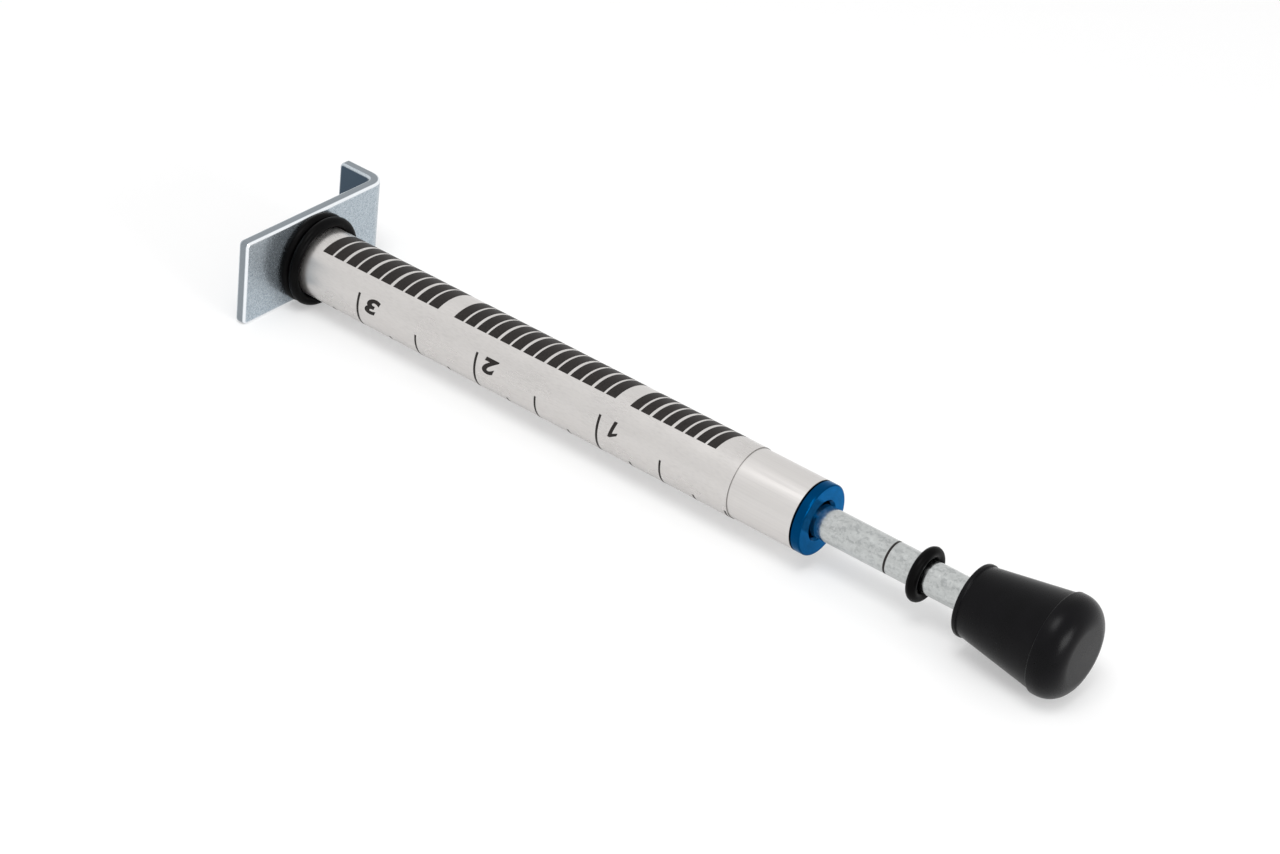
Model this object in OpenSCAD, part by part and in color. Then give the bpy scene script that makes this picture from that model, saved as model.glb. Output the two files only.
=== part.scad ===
// Belt tension tester: a spring-loaded plunger in a marked barrel, with an angled
// bracket that hooks over a drive belt. Three rubber rings keep the readings.

/* [Bracket] */
// Width of the flat that bears on the belt
bracket_flat_w = 31; // [24:0.5:44]
// Height of the bracket
bracket_h = 15.4; // [13:0.1:24]
// Thickness of the bracket plate
plate_t = 2; // [1.6:0.1:3]
// Depth of the hooked flange, from the barrel side of the plate to its tip
flange_l = 9.3; // [6.5:0.1:14]
// Inside radius of the bend
bend_r = 1.2; // [0.5:0.1:2]
// Radius on the free corners of the plate and of the flange
corner_r = 0.8; // [0.3:0.1:1.5]

/* [Barrel] */
// Outside diameter of the barrel tube
barrel_od = 12; // [11:0.1:15]
// Wall of the barrel tube
barrel_wall = 1; // [0.8:0.05:1.3]
// Length of the barrel tube
barrel_len = 105; // [90:0.5:130]
// Thickness of the scale label
label_t = 0.1; // [0.06:0.01:0.2]
// Bare length of tube between the label and the end cap
label_bare = 12; // [6:0.1:20]

/* [End cap] */
// Thickness of the cap flange
cap_flange_t = 1.8; // [1.2:0.1:3]
// Length of the cap that sits inside the barrel
cap_spigot_l = 20; // [12:0.5:26]
// Radial width of the countersink around the rod
cap_sink_w = 0.7; // [0.5:0.05:1.5]
// Rounding of the cap's front edge
cap_edge_r = 0.3; // [0.2:0.05:0.6]

/* [End plug] */
// Diameter of the bracket screw's thread
screw_d = 4; // [3:0.1:4.4]
// Length of the bracket screw's thread in the plug
screw_grip = 7; // [4:0.5:10]
// Length of the pilot that centres the spring
pilot_l = 4; // [2:0.5:8]

/* [Plunger] */
// Diameter of the plunger rod
rod_d = 5.5; // [4.8:0.1:6.2]
// Length of rod in view between the cap and the tip, at rest
rod_out = 28; // [26:0.1:40]
// Stroke at which the force line reaches the cap
force_stroke = 13.5; // [8:0.5:16]
// Stroke at which the rod meets its inner stop
full_stroke = 15.5; // [12:0.5:17]
// Length of the piston
piston_l = 6; // [4:0.5:10]
// Thickness of the spring washer behind the piston
washer_t = 0.8; // [0.5:0.1:1.5]
// Thickness of the retaining clip
clip_t = 0.7; // [0.5:0.05:1]

/* [Spring] */
// Wire diameter of the compression spring
wire_d = 1.1; // [0.8:0.05:1.3]
// Working turns of the spring
spring_turns = 12; // [9:1:16]

/* [Rubber tip] */
// Length of the rubber tip
tip_len = 19.7; // [18:0.1:28]
// Diameter of the tip at its rim, where the rod goes in
tip_rim_d = 12; // [11:0.1:14]
// Largest diameter of the tip, at the lip around its foot
tip_foot_d = 16.7; // [15:0.1:20]
// Radius of the tip's rounded shoulder
tip_round = 3.9; // [2:0.1:4.5]
// Thickness of rubber under the steel washer
tip_sole = 4; // [3:0.1:6]
// Outside diameter of the steel washer in the tip
tip_washer_d = 9; // [8:0.1:10]
// Thickness of the steel washer in the tip
tip_washer_t = 1; // [0.6:0.1:1.5]

/* [Marker rings] */
// Section diameter of the rubber marker rings
ring_section = 1.78; // [1.4:0.02:2]
// Distance of the rod's ring from the cap face, at rest
rod_ring_out = 19.3; // [19:0.1:22]

/* [Fits] */
// Radial clearance of parts that slide
run_clear = 0.05; // [0.02:0.01:0.08]
// Radial clearance of parts that are pressed or screwed together
fit_clear = 0.02; // [0.01:0.005:0.03]
// Gap between faces that only meet
seat_gap = 0.1; // [0.05:0.01:0.15]

/* [Hidden] */
$fn = 96;

// Radii
barrel_r = barrel_od / 2;
bore_r = barrel_r - barrel_wall;
label_r = barrel_r + fit_clear + label_t;
rod_r = rod_d / 2;
cap_bore_r = rod_r + run_clear;
screw_r = screw_d / 2;
ring_r = ring_section / 2;
wire_r = wire_d / 2;
spring_r = (rod_r + bore_r) / 2;
tip_rim_r = tip_rim_d / 2;
tip_foot_r = tip_foot_d / 2;
bend_outer_r = bend_r + plate_t;

// Small features
break_edge = 0.3;
label_start = 0.3;
screw_hole_run = 0.5;
plug_web = 1.5;
head_sink = 0.1;
head_land = 0.3;
head_h = plate_t - head_land - head_sink;
head_r = screw_r + head_h;
socket_across = 2.5;
clip_depth = 0.7;
clip_side = 0.7;
clip_relief = 0.5;
clip_lug_w = 1.8;
washer_side = 0.4;
force_line_w = 0.3;
force_line_depth = 0.06;
rim_round = 0.45;
rim_w = 1;
rim_step = 0.12;
lip_w = 1;
lip_step = 0.3;

// How far a cutter runs past the piece, and how far joined shapes overlap
cut_past = 1;
overlap = 0.1;

// Stations along the barrel's axis, from the barrel side of the plate
label_end = barrel_len - label_bare;
cap_face = barrel_len + cap_flange_t;
cap_inner = barrel_len - cap_spigot_l;
tip_start = cap_face + rod_out;
tip_end = tip_start + tip_len;
screw_hole_end = screw_grip + screw_hole_run;
plug_end = screw_hole_end + plug_web;
pilot_end = plug_end + pilot_l;
clip_front = cap_inner - seat_gap;
piston_front = clip_front - clip_t;
piston_back = piston_front - piston_l;
washer_back = piston_back - washer_t;
rod_inner = pilot_end + full_stroke + seat_gap;
tip_washer_back = tip_end - tip_sole;
rod_outer = tip_washer_back - tip_washer_t;
rear_ring_x = ring_r + seat_gap;
front_ring_x = rear_ring_x + ring_section + seat_gap;
rod_ring_x = cap_face + rod_ring_out;
force_line_x = cap_face + force_stroke;

// Bracket in plan, with its flat centred on the barrel
flat_half = bracket_flat_w / 2;
bracket_side = flat_half + bend_outer_r;

// The origin is under the middle of the whole part, on the surface that it lies on
low_z = max(bracket_h / 2, tip_foot_r);
mid_x = (tip_end - flange_l) / 2;
mid_y = (bracket_side - flat_half) / 2;

// Colours
zinc = [0.66, 0.69, 0.74];
steel = [0.60, 0.61, 0.63];
aluminium = [0.79, 0.78, 0.77];
film = [0.80, 0.79, 0.78];
blue = [0.10, 0.38, 0.65];
galvanised = [0.72, 0.73, 0.72];
nylon = [0.90, 0.88, 0.82];
rubber = [0.08, 0.08, 0.09];

// Puts a piece drawn about the barrel's axis into the part's frame
module place() {
    translate([-mid_x, -mid_y, low_z]) children();
}

// A solid turned about the barrel's axis from a list of [radius, station] points
module turned(outline) {
    rotate([0, 90, 0]) rotate_extrude() polygon(outline);
}

// A plain sleeve on the barrel's axis
module sleeve(x0, x1, inner_r, outer_r) {
    turned([[inner_r, x0], [outer_r, x0], [outer_r, x1], [inner_r, x1]]);
}

// A rubber ring of round section, at station x, on a bar of radius r
module marker_ring(x, r) {
    translate([x, 0, 0]) rotate([0, 90, 0]) rotate_extrude()
        translate([r + run_clear + ring_r, 0]) circle(ring_r);
}

// Points on an arc of a turned outline, about [radius, station], from angle a0 to a1
function arc(centre, r, a0, a1, steps = 8) = [
    for (i = [0:steps])
        let (a = a0 + (a1 - a0) * i / steps)
        [centre[0] + r * cos(a), centre[1] + r * sin(a)]
];

// An upright slab from y0 to y1, of thickness t along X, round at its two corners on y0
module slab(y0, y1, h, t, r) {
    rotate([90, 0, 90]) linear_extrude(t) {
        translate([y0 + r, -h / 2]) square([y1 - y0 - r, h]);
        translate([y0, -h / 2 + r]) square([2 * r, h - 2 * r]);
        for (z = [-h / 2 + r, h / 2 - r]) translate([y0 + r, z]) circle(r);
    }
}

// The area in plan that one face of the bracket wraps round, with its bend of radius r
module inside_bend(r, past) {
    translate([-flange_l - past, -flat_half - past]) {
        square([flange_l + past - bend_outer_r + r, bracket_flat_w + past]);
        square([flange_l + past - bend_outer_r, bracket_flat_w + past + r]);
    }
    translate([-bend_outer_r, flat_half]) circle(r);
}

// Plate that bears on the belt, bent into a flange that hooks over the belt's edge
module belt_bracket() {
    hole_r = screw_r + fit_clear;
    sink_r = head_r + head_sink + fit_clear;
    sink_end = -plate_t + sink_r - hole_r;
    wide = bracket_side + flat_half;
    color(zinc) place() difference() {
        intersection() {
            translate([0, 0, -bracket_h / 2 - cut_past]) linear_extrude(bracket_h + 2 * cut_past) difference() {
                inside_bend(bend_outer_r, 0);
                inside_bend(bend_r, cut_past);
            }
            translate([-flange_l - cut_past, 0, 0])
                slab(-flat_half, bracket_side + cut_past, bracket_h, flange_l + 2 * cut_past, corner_r);
            translate([0, bracket_side + cut_past, 0]) rotate([0, 0, -90])
                slab(-flange_l, cut_past, bracket_h, wide + 2 * cut_past, corner_r);
        }
        turned([[0, -plate_t - cut_past], [sink_r + cut_past, -plate_t - cut_past],
            [hole_r, sink_end], [hole_r, cut_past], [0, cut_past]]);
    }
}

// Countersunk screw that holds the bracket to the end plug
module bracket_screw() {
    top = -plate_t + head_sink;
    color(steel) place() difference() {
        turned([[0, top], [head_r, top], [screw_r, top + head_h], [screw_r, screw_grip - break_edge],
            [screw_r - break_edge, screw_grip], [0, screw_grip]]);
        translate([top - cut_past, 0, 0]) rotate([0, 90, 0])
            cylinder(h = cut_past + head_h, d = socket_across / cos(30), $fn = 6);
    }
}

// Plug pressed into the barrel behind the bracket, with a pilot for the spring
module end_plug() {
    plug_r = bore_r - fit_clear;
    hole_r = screw_r + fit_clear;
    color(aluminium) place() turned([
        [hole_r, 0], [plug_r, 0], [plug_r, plug_end - break_edge], [plug_r - break_edge, plug_end],
        [rod_r, plug_end], [rod_r, pilot_end - break_edge], [rod_r - break_edge, pilot_end],
        [0, pilot_end], [0, screw_hole_end], [hole_r, screw_hole_end]
    ]);
}

// Barrel tube, cut square at both ends
module barrel_tube() {
    color(aluminium) place() sleeve(0, barrel_len, bore_r, barrel_r);
}

// Film that carries the inch scale, wrapped once round the barrel
module scale_label() {
    color(film) place() sleeve(label_start, label_end, barrel_r + fit_clear, label_r);
}

// Cap and guide bush in one, with a flange as wide as the barrel and a countersunk bore
module end_cap() {
    spigot_r = bore_r - fit_clear;
    color(blue) place() turned(concat(
        [[cap_bore_r, cap_inner], [spigot_r - break_edge, cap_inner], [spigot_r, cap_inner + break_edge],
            [spigot_r, barrel_len], [barrel_r - break_edge / 2, barrel_len], [barrel_r, barrel_len + break_edge / 2]],
        arc([barrel_r - cap_edge_r, cap_face - cap_edge_r], cap_edge_r, 0, 90),
        [[cap_bore_r + cap_sink_w, cap_face], [cap_bore_r, cap_face - cap_sink_w]]
    ));
}

// Station of the spring's wire after a number of turns: one closed turn at each end
function spring_station(turn) =
    let (closed = wire_d + seat_gap)
    let (first = plug_end + wire_r + seat_gap)
    let (last = washer_back - wire_r - seat_gap)
    let (pitch = (last - first - 2 * closed) / spring_turns)
    turn < 1 ? first + closed * turn
    : turn > spring_turns + 1 ? last - closed * (spring_turns + 2 - turn)
    : first + closed + pitch * (turn - 1);

// Points of the spring wire's section after a number of turns
function wire_section(turn, sides) =
    let (step = 0.01)
    let (a = 360 * turn)
    let (climb = (spring_station(turn + step) - spring_station(turn - step)) / (2 * step))
    let (lean = atan(climb / (2 * PI * spring_r)))
    let (out = [0, cos(a), sin(a)])
    let (side = [cos(lean), sin(a) * sin(lean), -cos(a) * sin(lean)])
    [
        for (k = [0:sides - 1])
            let (b = 360 * k / sides)
            [spring_station(turn), 0, 0] + out * (spring_r + wire_r * cos(b)) + side * wire_r * sin(b)
    ];

// Closed-end compression spring between the end plug and the piston's washer
module compression_spring(sides = 8, steps_per_turn = 14) {
    stations = (spring_turns + 2) * steps_per_turn;
    points = [for (i = [0:stations]) each wire_section(i / steps_per_turn, sides)];
    walls = [
        for (i = [0:stations - 1], k = [0:sides - 1])
            let (a = i * sides + k)
            let (b = i * sides + (k + 1) % sides)
            each [[a, b, b + sides], [a, b + sides, a + sides]]
    ];
    start = [for (k = [0:sides - 1]) sides - 1 - k];
    end = [for (k = [0:sides - 1]) stations * sides + k];
    color(steel) place() polyhedron(points, concat([start], walls, [end]));
}

// Plunger rod, with a groove for the clip and the force line cut round it
module plunger_rod() {
    groove_r = rod_r - clip_depth;
    line_r = rod_r - force_line_depth;
    line_0 = force_line_x - force_line_w / 2;
    line_1 = force_line_x + force_line_w / 2;
    color(galvanised) place() turned([
        [0, rod_inner], [rod_r - break_edge, rod_inner], [rod_r, rod_inner + break_edge],
        [rod_r, piston_front - fit_clear], [groove_r, piston_front - fit_clear],
        [groove_r, clip_front + fit_clear], [rod_r, clip_front + fit_clear],
        [rod_r, line_0], [line_r, line_0], [line_r, line_1], [rod_r, line_1],
        [rod_r, rod_outer - break_edge], [rod_r - break_edge, rod_outer], [0, rod_outer]
    ]);
}

// E-shaped clip that snaps into the rod's groove and takes the piston's push
module retaining_clip() {
    outer_r = bore_r - clip_side;
    relief_r = rod_r + clip_relief;
    grip_r = rod_r - clip_depth + fit_clear;
    color(steel) place() translate([piston_front, 0, 0]) rotate([90, 0, 90]) linear_extrude(clip_t)
        difference() {
            union() {
                difference() {
                    circle(outer_r);
                    circle(relief_r);
                }
                for (turn = [90, 200, 340]) rotate(turn) translate([0, -clip_lug_w / 2])
                    square([relief_r + overlap, clip_lug_w]);
            }
            circle(grip_r);
            translate([-grip_r, -outer_r - cut_past])
                square([2 * grip_r, outer_r + cut_past - grip_r / 2]);
        }
}

// Piston that guides the rod's inner length in the barrel, with two relief grooves
module piston() {
    outer_r = bore_r - run_clear;
    groove_r = outer_r - break_edge;
    groove_w = piston_l / 6;
    grooves = [
        for (share = [1 / 3, 2 / 3])
            let (x = piston_back + share * piston_l)
            each [[outer_r, x - groove_w / 2], [groove_r, x - groove_w / 2],
                [groove_r, x + groove_w / 2], [outer_r, x + groove_w / 2]]
    ];
    color(nylon) place() turned(concat(
        [[rod_r + fit_clear, piston_back], [groove_r, piston_back], [outer_r, piston_back + break_edge]],
        grooves,
        [[outer_r, piston_front - break_edge], [groove_r, piston_front], [rod_r + fit_clear, piston_front]]
    ));
}

// Steel washer that spreads the spring's push on the piston
module piston_washer() {
    color(steel) place() sleeve(washer_back, piston_back, rod_r + run_clear, bore_r - washer_side);
}

// Tapered rubber tip for the palm, moulded round a steel washer, pushed onto the rod
module rubber_tip() {
    bore = rod_r + fit_clear;
    pocket_r = tip_washer_d / 2 + fit_clear;
    shoulder = tip_end - tip_round;
    lip_start = shoulder - lip_w;
    color(rubber) place() turned(concat(
        [[bore, tip_start]],
        arc([tip_rim_r - rim_round, tip_start + rim_round], rim_round, -90, 0),
        [[tip_rim_r, tip_start + rim_w], [tip_rim_r - rim_step, tip_start + rim_w]],
        arc([tip_foot_r - lip_step, lip_start + lip_step], lip_step, -90, 0),
        arc([tip_foot_r - tip_round, shoulder], tip_round, 0, 90),
        [[0, tip_end], [0, tip_washer_back + fit_clear], [pocket_r, tip_washer_back + fit_clear],
            [pocket_r, rod_outer - fit_clear], [bore, rod_outer - fit_clear]]
    ));
}

// Steel washer at the bottom of the tip, where the rod's end pushes
module tip_washer() {
    hole_r = rod_r / 2;
    color(steel) place() sleeve(rod_outer, tip_washer_back, hole_r, tip_washer_d / 2);
}

// Ring on the rod that keeps the force reading
module rod_marker_ring() {
    color(rubber) place() marker_ring(rod_ring_x, rod_r);
}

// Ring on the barrel that keeps the deflection reading
module barrel_marker_ring_front() {
    color(rubber) place() marker_ring(front_ring_x, label_r);
}

// Second ring on the barrel, against the bracket
module barrel_marker_ring_rear() {
    color(rubber) place() marker_ring(rear_ring_x, label_r);
}

belt_bracket();
bracket_screw();
end_plug();
barrel_tube();
scale_label();
end_cap();
compression_spring();
plunger_rod();
retaining_clip();
piston();
piston_washer();
rubber_tip();
tip_washer();
rod_marker_ring();
barrel_marker_ring_front();
barrel_marker_ring_rear();
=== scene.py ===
"""Belt tension tester: finishes the packed solids, prints the scale and sets the stage."""
import math

import bmesh
import bpy
from bpy.props import FloatProperty, FloatVectorProperty, IntProperty, PointerProperty
from bpy.types import Operator, Panel, PropertyGroup
from mathutils import Matrix, Vector


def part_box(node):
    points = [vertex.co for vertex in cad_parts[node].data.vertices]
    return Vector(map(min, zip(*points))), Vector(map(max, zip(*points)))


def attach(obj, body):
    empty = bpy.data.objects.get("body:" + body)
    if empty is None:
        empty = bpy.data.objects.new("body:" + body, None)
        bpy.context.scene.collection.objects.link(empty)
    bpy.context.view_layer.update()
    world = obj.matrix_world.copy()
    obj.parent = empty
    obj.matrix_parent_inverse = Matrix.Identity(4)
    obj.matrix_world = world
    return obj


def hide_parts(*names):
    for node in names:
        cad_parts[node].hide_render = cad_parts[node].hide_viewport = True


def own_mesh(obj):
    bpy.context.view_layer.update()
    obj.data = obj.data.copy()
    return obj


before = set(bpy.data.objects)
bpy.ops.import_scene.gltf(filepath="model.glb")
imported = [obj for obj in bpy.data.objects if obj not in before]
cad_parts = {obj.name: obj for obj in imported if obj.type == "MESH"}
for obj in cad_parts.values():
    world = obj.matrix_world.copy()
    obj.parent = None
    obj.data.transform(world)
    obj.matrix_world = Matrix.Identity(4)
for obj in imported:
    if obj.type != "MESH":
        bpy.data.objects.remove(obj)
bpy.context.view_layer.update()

bl_info = {
    "name": "Belt Tension Tester",
    "version": (1, 0, 0),
    "blender": (4, 5, 0),
    "location": "3D View > Sidebar > Tester",
    "description": "Builds the finished look of a belt tension tester round its packed solids",
    "category": "Object",
}

# Places read from the packed solids
PLATE_LOW, PLATE_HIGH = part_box("belt_bracket")
SCREW_LOW, SCREW_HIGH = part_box("bracket_screw")
TUBE_LOW, TUBE_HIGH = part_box("barrel_tube")
LABEL_LOW, LABEL_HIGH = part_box("scale_label")
CAP_LOW, CAP_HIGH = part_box("end_cap")
SPRING_LOW, SPRING_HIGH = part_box("compression_spring")
ROD_LOW, ROD_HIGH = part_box("plunger_rod")
CLIP_LOW, CLIP_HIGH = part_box("retaining_clip")
TIP_LOW, TIP_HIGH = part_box("rubber_tip")
TIP_WASHER_LOW, TIP_WASHER_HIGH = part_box("tip_washer")
AXIS_Y = (TUBE_LOW.y + TUBE_HIGH.y) / 2
AXIS_Z = (TUBE_LOW.z + TUBE_HIGH.z) / 2
BARREL_R = (TUBE_HIGH.z - TUBE_LOW.z) / 2
LABEL_R = (LABEL_HIGH.z - LABEL_LOW.z) / 2
ROD_R = (ROD_HIGH.z - ROD_LOW.z) / 2
TIP_R = min(TIP_HIGH.z - AXIS_Z, AXIS_Z - TIP_LOW.z)

FULL_TURN = 2 * math.pi
TURN_STEPS = 192
SMALL_TURN_STEPS = 96
ARC_STEPS = 10
SMALL_ARC_STEPS = 5
ROOT_STEPS = 2
SHOULDER_STEPS = 24
EDGE_STEPS = 4
BEND_STEPS = 18
MARK_STEPS = 40
DIGIT_STEPS = 28
RING_STEPS = 176
RING_SECTION_STEPS = 44
COIL_STEPS = 32
WIRE_STEPS = 14
SMOOTH_ANGLE = math.radians(32)
TINY = 1e-9
MERGE = 1e-5

# Sockets of a mix node: its first value, followed by its second, and its result
MIX_GREY = (2, 0)
MIX_COLOUR = (6, 2)

# Groups of printed bars: name, first pair's distance from the bracket, pitch, pairs, width of a pair
BAR_GROUPS = [("bracket_bars", 0.0091, 0.00515, 5, 0.00455), ("middle_bars", 0.0375, 0.00485, 7, 0.0043),
              ("cap_bars", 0.0736, 0.00435, 4, 0.0038)]


def length(name, description, default):
    """A size in metres."""
    return FloatProperty(name=name, description=description, default=default, min=0.0, unit="LENGTH",
                         precision=6)


def angle(name, description, degrees):
    """An angle, written in degrees."""
    return FloatProperty(name=name, description=description, default=math.radians(degrees), subtype="ANGLE")


def colour(name, description, default):
    """A colour in linear light."""
    return FloatVectorProperty(name=name, description=description, default=default, size=3, min=0.0, max=1.0,
                               subtype="COLOR")


def power(name, description, default):
    """A lamp's power in watts."""
    return FloatProperty(name=name, description=description, default=default, min=0.0, unit="POWER")


def place(name, description, default):
    """A point in metres."""
    return FloatVectorProperty(name=name, description=description, default=default, size=3, subtype="XYZ",
                               unit="LENGTH", precision=5)


class BracketSizes(PropertyGroup):
    """Sizes of the bent plate and its screw."""

    thickness: length("Thickness", "Thickness of the plate", 0.002)
    bend_radius: length("Bend radius", "Inside radius of the bend", 0.0012)
    corner_radius: length("Corner radius", "Radius on the free corners", 0.0008)
    edge_round: length("Edge round", "Rounding that tumbling leaves on the edges", 0.00046)
    # Share of the painted edge highlight, with some real polish, that the edges on the belt's side get
    belt_side_highlight_share: FloatProperty(name="Belt side polish", default=0.25, min=0.0, max=1.0, subtype="FACTOR",
                                    description="Polish of the edges at the belt, as a share of the others")
    hole_radius: length("Hole radius", "Radius of the screw hole", 0.00202)
    sink_radius: length("Sink radius", "Radius of the countersink at the belt's side", 0.00372)
    socket_across: length("Socket", "Width across the flats of the screw's socket", 0.0025)
    head_height: length("Head height", "Height of the screw's cone", 0.0016)
    head_edge: length("Head edge", "Chamfer on the screw's head", 0.00008)
    thread_radius: length("Thread radius", "Outer radius of the screw's thread", 0.002)
    thread_pitch: length("Thread pitch", "Pitch of the screw's thread", 0.0007)
    thread_depth: length("Thread depth", "Depth of the screw's thread", 0.0002)
    screw_lead: length("Screw lead", "Chamfer on the screw's end", 0.0003)


class BarrelSizes(PropertyGroup):
    """Sizes of the tube, its label and its cap."""

    wall: length("Wall", "Wall of the tube", 0.001)
    edge_break: length("Edge break", "Small chamfer on cut edges", 0.00005)
    film: length("Film", "Thickness of the label film", 0.0001)
    film_soft: length("Film soft", "Softening of the film's cut edges", 0.000005)
    seam: length("Seam", "Gap where the ends of the label meet", 0.00025)
    seam_angle: angle("Seam angle", "Place of the seam round the barrel", -62.0)
    # The dark line is painted shadow on the tube's end
    joint_shade_line: length("Joint line", "Width of the dark line on the tube where the cap meets it", 0.00008)
    cap_edge: length("Cap edge", "Rounding of the cap's front edge", 0.00028)
    cap_side_inset: length("Cap side inset", "Distance from the cap's face at which its side ends", 0.0000084)
    cap_back_edge: length("Cap back edge", "Chamfer of the cap where it meets the tube", 0.00014)
    cap_relief: length("Cap relief", "Width of the fine groove between the cap and the tube", 0.00014)
    cap_seat: length("Cap seat", "Radial depth of that groove", 0.0005)
    cap_sink: length("Cap sink", "Radial width of the countersink round the rod", 0.0007)
    cap_gap: length("Cap gap", "Radial gap round the rod below the countersink", 0.00025)
    cap_gap_depth: length("Cap gap depth", "Depth of that gap", 0.0024)
    film_edge: length("Film edge", "Width of the grey line on the film's cut edge", 0.00008)
    rod_clearance: length("Rod clearance", "Radial clearance of the rod in the cap", 0.00005)
    cap_lead: length("Cap lead", "Chamfer on the inner end of the cap", 0.0003)


class PrintSizes(PropertyGroup):
    """Sizes of the printed inch scale."""

    inch: length("Inch", "Distance of the whole-inch lines", 0.0254)
    zero_inset: length("Zero inset", "Distance of the zero line from the label's edge", 0.0005)
    whole_width: length("Whole line", "Width of a whole-inch line", 0.00045)
    part_width: length("Part line", "Width of a half-inch or quarter-inch line", 0.00038)
    whole_top: angle("Whole top", "Upper end of a whole-inch line round the barrel", 156.5)
    half_top: angle("Half top", "Upper end of a half-inch line", 178.5)
    zero_top: angle("Zero top", "Upper end of the zero line", 213.0)
    quarter_top: angle("Quarter top", "Upper end of a quarter-inch line", 215.0)
    base: angle("Base", "Lower end of all the lines", 252.0)
    whole_count: IntProperty(name="Inches", description="Number of whole-inch lines", default=3, min=1)
    quarter_count: IntProperty(name="Quarters", description="Number of quarter-inch lines", default=7, min=1)
    digit_height: length("Digit height", "Height of the digits", 0.0029)
    digit_width: length("Digit width", "Width of the digits 2 and 3", 0.0031)
    digit_gap: length("Digit gap", "Distance from a line's middle to the middle of its digit", 0.0031)
    digit_base: angle("Digit base", "Lower edge of the digits round the barrel", 156.0)
    digit_lean: FloatProperty(name="Digit lean", description="Slant of the digits", default=0.24)
    digit_weight: FloatProperty(name="Digit weight", description="Boldness of the curved digits",
                                default=0.042)
    block_low: angle("Block low", "Lower edge of the row of bars round the barrel", 44.0)
    block_high: angle("Block high", "Upper edge of the row of bars round the barrel", 125.2)
    block_lean: FloatProperty(name="Block lean", description="Slant of the bars", default=-0.17)
    block_slot: length("Block slot", "Gap between the two bars of a pair", 0.0004)
    twist: FloatProperty(name="Twist", description="Turn of the print along the barrel, in radians per metre",
                         default=-1.69)
    twist_middle: length("Twist middle", "Distance from the bracket at which the print isn't turned", 0.043)
    ink: length("Ink", "Thickness of the ink", 0.000016)


class PlungerSizes(PropertyGroup):
    """Sizes of the rod, the rubber tip and the rings."""

    end_break: length("End break", "Chamfer on the rod's ends", 0.0003)
    clip_depth: length("Clip groove", "Depth of the groove for the clip", 0.0007)
    force_stroke: length("Force stroke", "Distance of the force line from the cap", 0.0135)
    line_width: length("Line width", "Width of the force line", 0.0004)
    line_depth: length("Line depth", "Depth of the groove under the force line", 0.00006)
    tip_rim: length("Tip rim", "Radius of the tip at its rim", 0.006)
    rim_round: length("Rim round", "Rounding of the rim", 0.00045)
    rim_width: length("Rim width", "Width of the bead round the rim", 0.0009)
    rim_step: length("Rim step", "Height of the bead round the rim", 0.00012)
    tip_root: length("Tip root", "Small radius beside the bead of the rim", 0.00012)
    root_lift: length("Root lift", "Height of that radius over the foot of the bead", 0.000036)
    root_start: angle("Root start", "Angle at which that radius leaves the bead", 216.0)
    lip_width: length("Lip width", "Width of the lip at the tip's foot", 0.001)
    lip_step: length("Lip step", "Height of the lip at the tip's foot", 0.0003)
    shoulder: length("Shoulder", "Radius of the tip's rounded shoulder", 0.0039)
    fit: length("Fit", "Clearance of pieces that are pushed together", 0.00002)
    ring_section: length("Ring section", "Section of the rubber rings", 0.00178)
    ring_flash: length("Ring flash", "Height of the parting line on the rings", 0.00002)
    wire: length("Wire", "Wire of the spring", 0.0011)
    turns: IntProperty(name="Turns", description="Working turns of the spring", default=12, min=1)
    closed_pitch: length("Closed pitch", "Pitch of the closed end turns", 0.0012)


class FinishColours(PropertyGroup):
    """Colours of the finishes, in linear light."""

    zinc: colour("Zinc", "Bright zinc on the bracket", (0.42, 0.475, 0.52))
    zinc_dark: colour("Zinc dark", "Darker grain of the zinc", (0.29, 0.345, 0.39))
    # Painted highlight on the rounded edges, partly real polish from tumbling
    zinc_edge_highlight: colour("Zinc edge", "Zinc that is polished on the edges", (0.84, 0.87, 0.90))
    zinc_rim: colour("Zinc rim", "Zinc on the sheared sides", (0.235, 0.265, 0.29))
    # This colour is painted shade: the dark reflection on the flange's inner face
    flange_painted_shade: colour("Belt dust", "Rubber that belts leave inside the flange", (0.045, 0.072, 0.102))
    aluminium: colour("Aluminium", "Drawn aluminium", (0.64, 0.62, 0.605))
    film: colour("Film", "Silver film of the label", (0.61, 0.59, 0.575))
    film_cut: colour("Film cut", "Cut edge of the film", (0.30, 0.29, 0.28))
    # Painted shadow in the joint between the tube and the cap
    joint: colour("Joint", "Dark line between the tube and the cap", (0.006, 0.008, 0.012))
    ink: colour("Ink", "Printed black", (0.013, 0.0105, 0.0095))
    blue: colour("Blue", "Face of the anodised cap", (0.0005, 0.095, 0.28))
    blue_gloss: colour("Blue gloss", "Gloss of the cap at a low angle", (0.58, 0.75, 0.93))
    # Painted shade: the cap's side drawn darker than its face
    blue_side_shade: colour("Deep blue", "Finer turned sides of the cap", (0.0, 0.042, 0.13))
    rod: colour("Rod", "Zinc coat of the rod", (0.49, 0.505, 0.50))
    rod_dark: colour("Rod dark", "Grey patches in the rod's coat", (0.385, 0.40, 0.398))
    tip: colour("Tip", "Rubber of the tip", (0.0022, 0.0021, 0.0027))
    ring: colour("Ring", "Rubber of the rings", (0.0020, 0.0019, 0.0020))
    steel: colour("Steel", "Plain steel", (0.42, 0.42, 0.43))
    spring: colour("Spring", "Drawn spring wire", (0.30, 0.31, 0.33))
    nylon: colour("Nylon", "Natural nylon", (0.72, 0.68, 0.58))
    floor: colour("Floor", "Surface that the tester lies on", (0.975, 0.975, 0.975))
    light: colour("Light", "Studio light", (1.0, 1.0, 1.0))


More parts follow.
